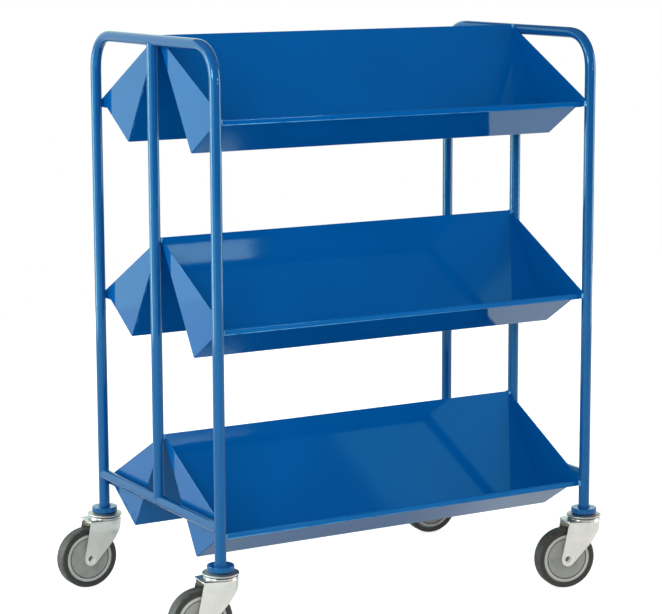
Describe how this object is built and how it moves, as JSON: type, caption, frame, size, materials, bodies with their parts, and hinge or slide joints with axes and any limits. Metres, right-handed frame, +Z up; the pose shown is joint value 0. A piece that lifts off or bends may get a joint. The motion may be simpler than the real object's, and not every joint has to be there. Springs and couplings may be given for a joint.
{
  "type": "book trolley",
  "caption": "Book trolley with back-to-back V-shaped sheet-steel troughs in tiers between bent-tube end hoops, standing on free swivel castors.",
  "frame": {"origin": "on the floor, at the centre of the whole trolley's box as it stands with its castors trailing to -X", "axes": "+X along the troughs to the right end, +Y from the front troughs to the rear ones, +Z up"},
  "size_m": [0.9864, 0.588, 1.149],
  "materials": {
    "blue_powder_coat": "glossy blue powder coat on welded steel",
    "zinc_plate": "bright zinc plate on pressed steel",
    "grey_moulding": "grey moulded plastic",
    "dark_rubber": "dark grey rubber"
  },
  "bodies": {
    "frame": {"end_hoop_left": "blue_powder_coat", "end_hoop_right": "blue_powder_coat", "centre_post_left": "blue_powder_coat", "centre_post_right": "blue_powder_coat", "lower_rail_left": "blue_powder_coat", "lower_rail_right": "blue_powder_coat", "tray_bottom_front": "blue_powder_coat", "tray_bottom_rear": "blue_powder_coat", "tray_middle_front": "blue_powder_coat", "tray_middle_rear": "blue_powder_coat", "tray_top_front": "blue_powder_coat", "tray_top_rear": "blue_powder_coat", "end_plate_bottom_front_left": "blue_powder_coat", "end_plate_bottom_front_right": "blue_powder_coat", "end_plate_bottom_rear_left": "blue_powder_coat", "end_plate_bottom_rear_right": "blue_powder_coat", "end_plate_middle_front_left": "blue_powder_coat", "end_plate_middle_front_right": "blue_powder_coat", "end_plate_middle_rear_left": "blue_powder_coat", "end_plate_middle_rear_right": "blue_powder_coat", "end_plate_top_front_left": "blue_powder_coat", "end_plate_top_front_right": "blue_powder_coat", "end_plate_top_rear_left": "blue_powder_coat", "end_plate_top_rear_right": "blue_powder_coat", "leg_collar_left_front": "blue_powder_coat", "leg_collar_left_rear": "blue_powder_coat", "leg_collar_right_front": "blue_powder_coat", "leg_collar_right_rear": "blue_powder_coat", "castor_head_left_front": "zinc_plate", "castor_head_left_rear": "zinc_plate", "castor_head_right_front": "zinc_plate", "castor_head_right_rear": "zinc_plate", "castor_bolt_left_front": "zinc_plate", "castor_bolt_left_rear": "zinc_plate", "castor_bolt_right_front": "zinc_plate", "castor_bolt_right_rear": "zinc_plate"},
    "castor_left_front": {"fork_left_front": "zinc_plate", "ball_race_left_front": "zinc_plate", "wheel_axle_left_front": "zinc_plate", "axle_bush_left_front": "zinc_plate"},
    "castor_left_rear": {"fork_left_rear": "zinc_plate", "ball_race_left_rear": "zinc_plate", "wheel_axle_left_rear": "zinc_plate", "axle_bush_left_rear": "zinc_plate"},
    "castor_right_front": {"fork_right_front": "zinc_plate", "ball_race_right_front": "zinc_plate", "wheel_axle_right_front": "zinc_plate", "axle_bush_right_front": "zinc_plate"},
    "castor_right_rear": {"fork_right_rear": "zinc_plate", "ball_race_right_rear": "zinc_plate", "wheel_axle_right_rear": "zinc_plate", "axle_bush_right_rear": "zinc_plate"},
    "wheel_left_front": {"wheel_centre_left_front": "grey_moulding", "tyre_left_front": "dark_rubber"},
    "wheel_left_rear": {"wheel_centre_left_rear": "grey_moulding", "tyre_left_rear": "dark_rubber"},
    "wheel_right_front": {"wheel_centre_right_front": "grey_moulding", "tyre_right_front": "dark_rubber"},
    "wheel_right_rear": {"wheel_centre_right_rear": "grey_moulding", "tyre_right_rear": "dark_rubber"}
  },
  "joints": [
    {"name": "swivel_left_front", "type": "hinge", "parent": "frame", "child": "castor_left_front", "pos_m": [-0.3875, -0.26, 0.14], "axis": [0, 0, 1], "continuous": true},
    {"name": "swivel_left_rear", "type": "hinge", "parent": "frame", "child": "castor_left_rear", "pos_m": [-0.3875, 0.26, 0.14], "axis": [0, 0, 1], "continuous": true},
    {"name": "swivel_right_front", "type": "hinge", "parent": "frame", "child": "castor_right_front", "pos_m": [0.4585, -0.26, 0.14], "axis": [0, 0, 1], "continuous": true},
    {"name": "swivel_right_rear", "type": "hinge", "parent": "frame", "child": "castor_right_rear", "pos_m": [0.4585, 0.26, 0.14], "axis": [0, 0, 1], "continuous": true},
    {"name": "roll_left_front", "type": "hinge", "parent": "castor_left_front", "child": "wheel_left_front", "pos_m": [-0.43026, -0.2555, 0.0625], "axis": [0.1045, 0.9945, 0], "continuous": true},
    {"name": "roll_left_rear", "type": "hinge", "parent": "castor_left_rear", "child": "wheel_left_rear", "pos_m": [-0.43049, 0.25925, 0.0625], "axis": [-0.0175, 0.9998, 0], "continuous": true},
    {"name": "roll_right_front", "type": "hinge", "parent": "castor_right_front", "child": "wheel_right_front", "pos_m": [0.41644, -0.25106, 0.0625], "axis": [0.2079, 0.9781, 0], "continuous": true},
    {"name": "roll_right_rear", "type": "hinge", "parent": "castor_right_rear", "child": "wheel_right_rear", "pos_m": [0.41561, 0.263, 0.0625], "axis": [0.0698, 0.9976, 0], "continuous": true}
  ]
}
